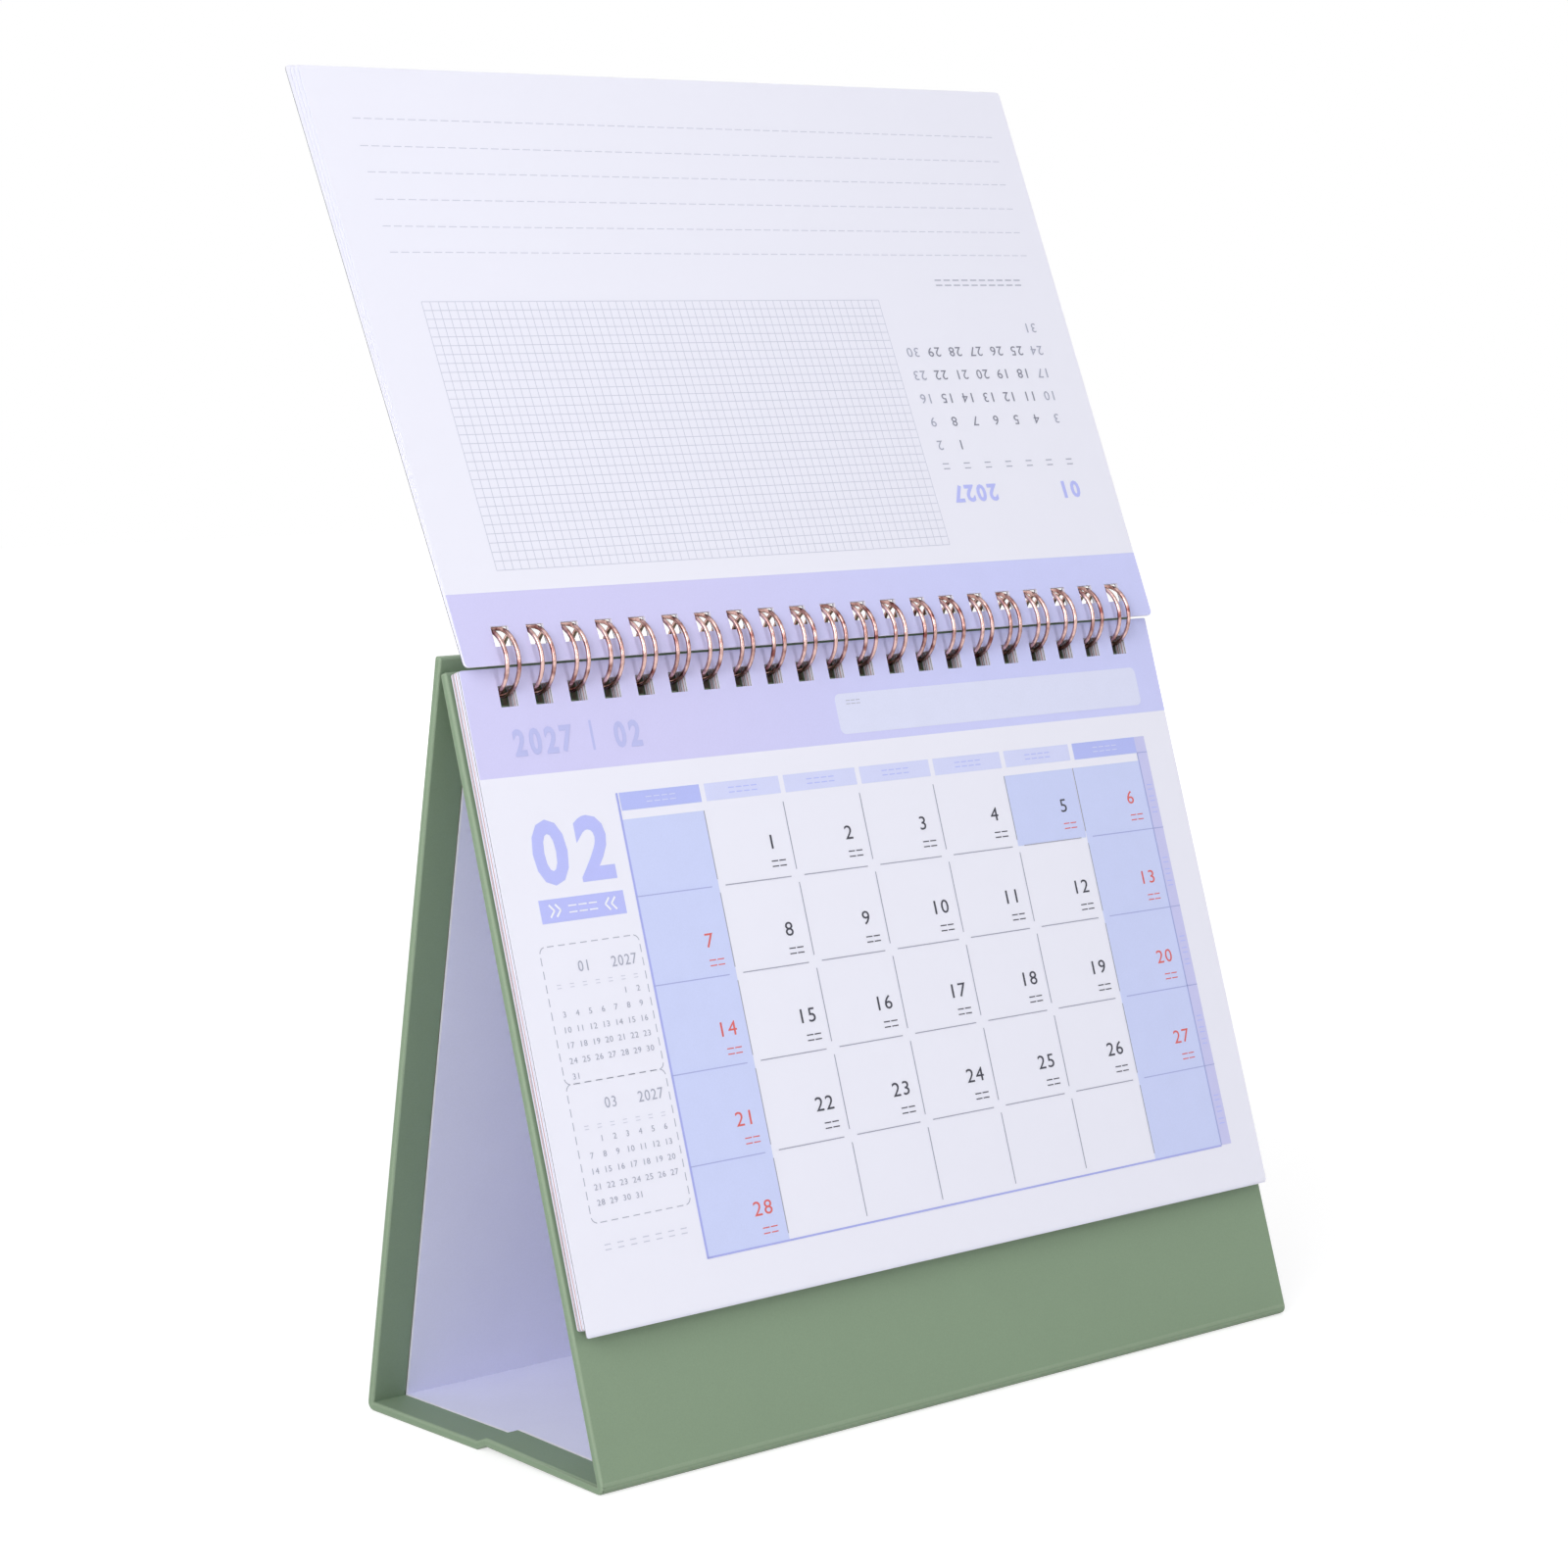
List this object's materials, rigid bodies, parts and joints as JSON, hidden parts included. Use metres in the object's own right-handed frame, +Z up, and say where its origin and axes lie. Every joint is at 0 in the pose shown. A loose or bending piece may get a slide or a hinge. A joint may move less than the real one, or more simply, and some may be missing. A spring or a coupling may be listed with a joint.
{
  "type": "desk calendar",
  "caption": "Folded board easel with two stacks of month leaves on a twin-loop binding wire, one stack turned up and one hanging in front.",
  "frame": {"origin": "centre of the base's underside", "axes": "+Z up, +X to the right of a reader who faces the front leaves, -Y towards that reader"},
  "size_m": [0.192, 0.0925, 0.271],
  "materials": {
    "cover_paper": "sage green wrapping paper, fine matt grain",
    "grey_board": "raw grey board",
    "liner_paper": "pale lavender uncoated paper",
    "copper_wire": "rose-gold lacquered steel wire, glossy",
    "leaf_paper": "smooth uncoated paper, printed in pale lavender"
  },
  "bodies": {
    "stand": {"cover_wrap": "cover_paper", "front_board": "grey_board", "back_board": "grey_board", "base_front_board": "grey_board", "base_rear_board": "grey_board", "liner": "liner_paper", "binding_wire": "copper_wire", "front_leaves": "leaf_paper"},
    "turned_leaves": {"raised_leaves": "leaf_paper"}
  },
  "joints": [
    {"name": "leaf_turn", "type": "hinge", "parent": "stand", "child": "turned_leaves", "pos_m": [0, 0.0073, 0.15316], "axis": [1, 0, 0], "range_deg": [-145, 30]}
  ]
}
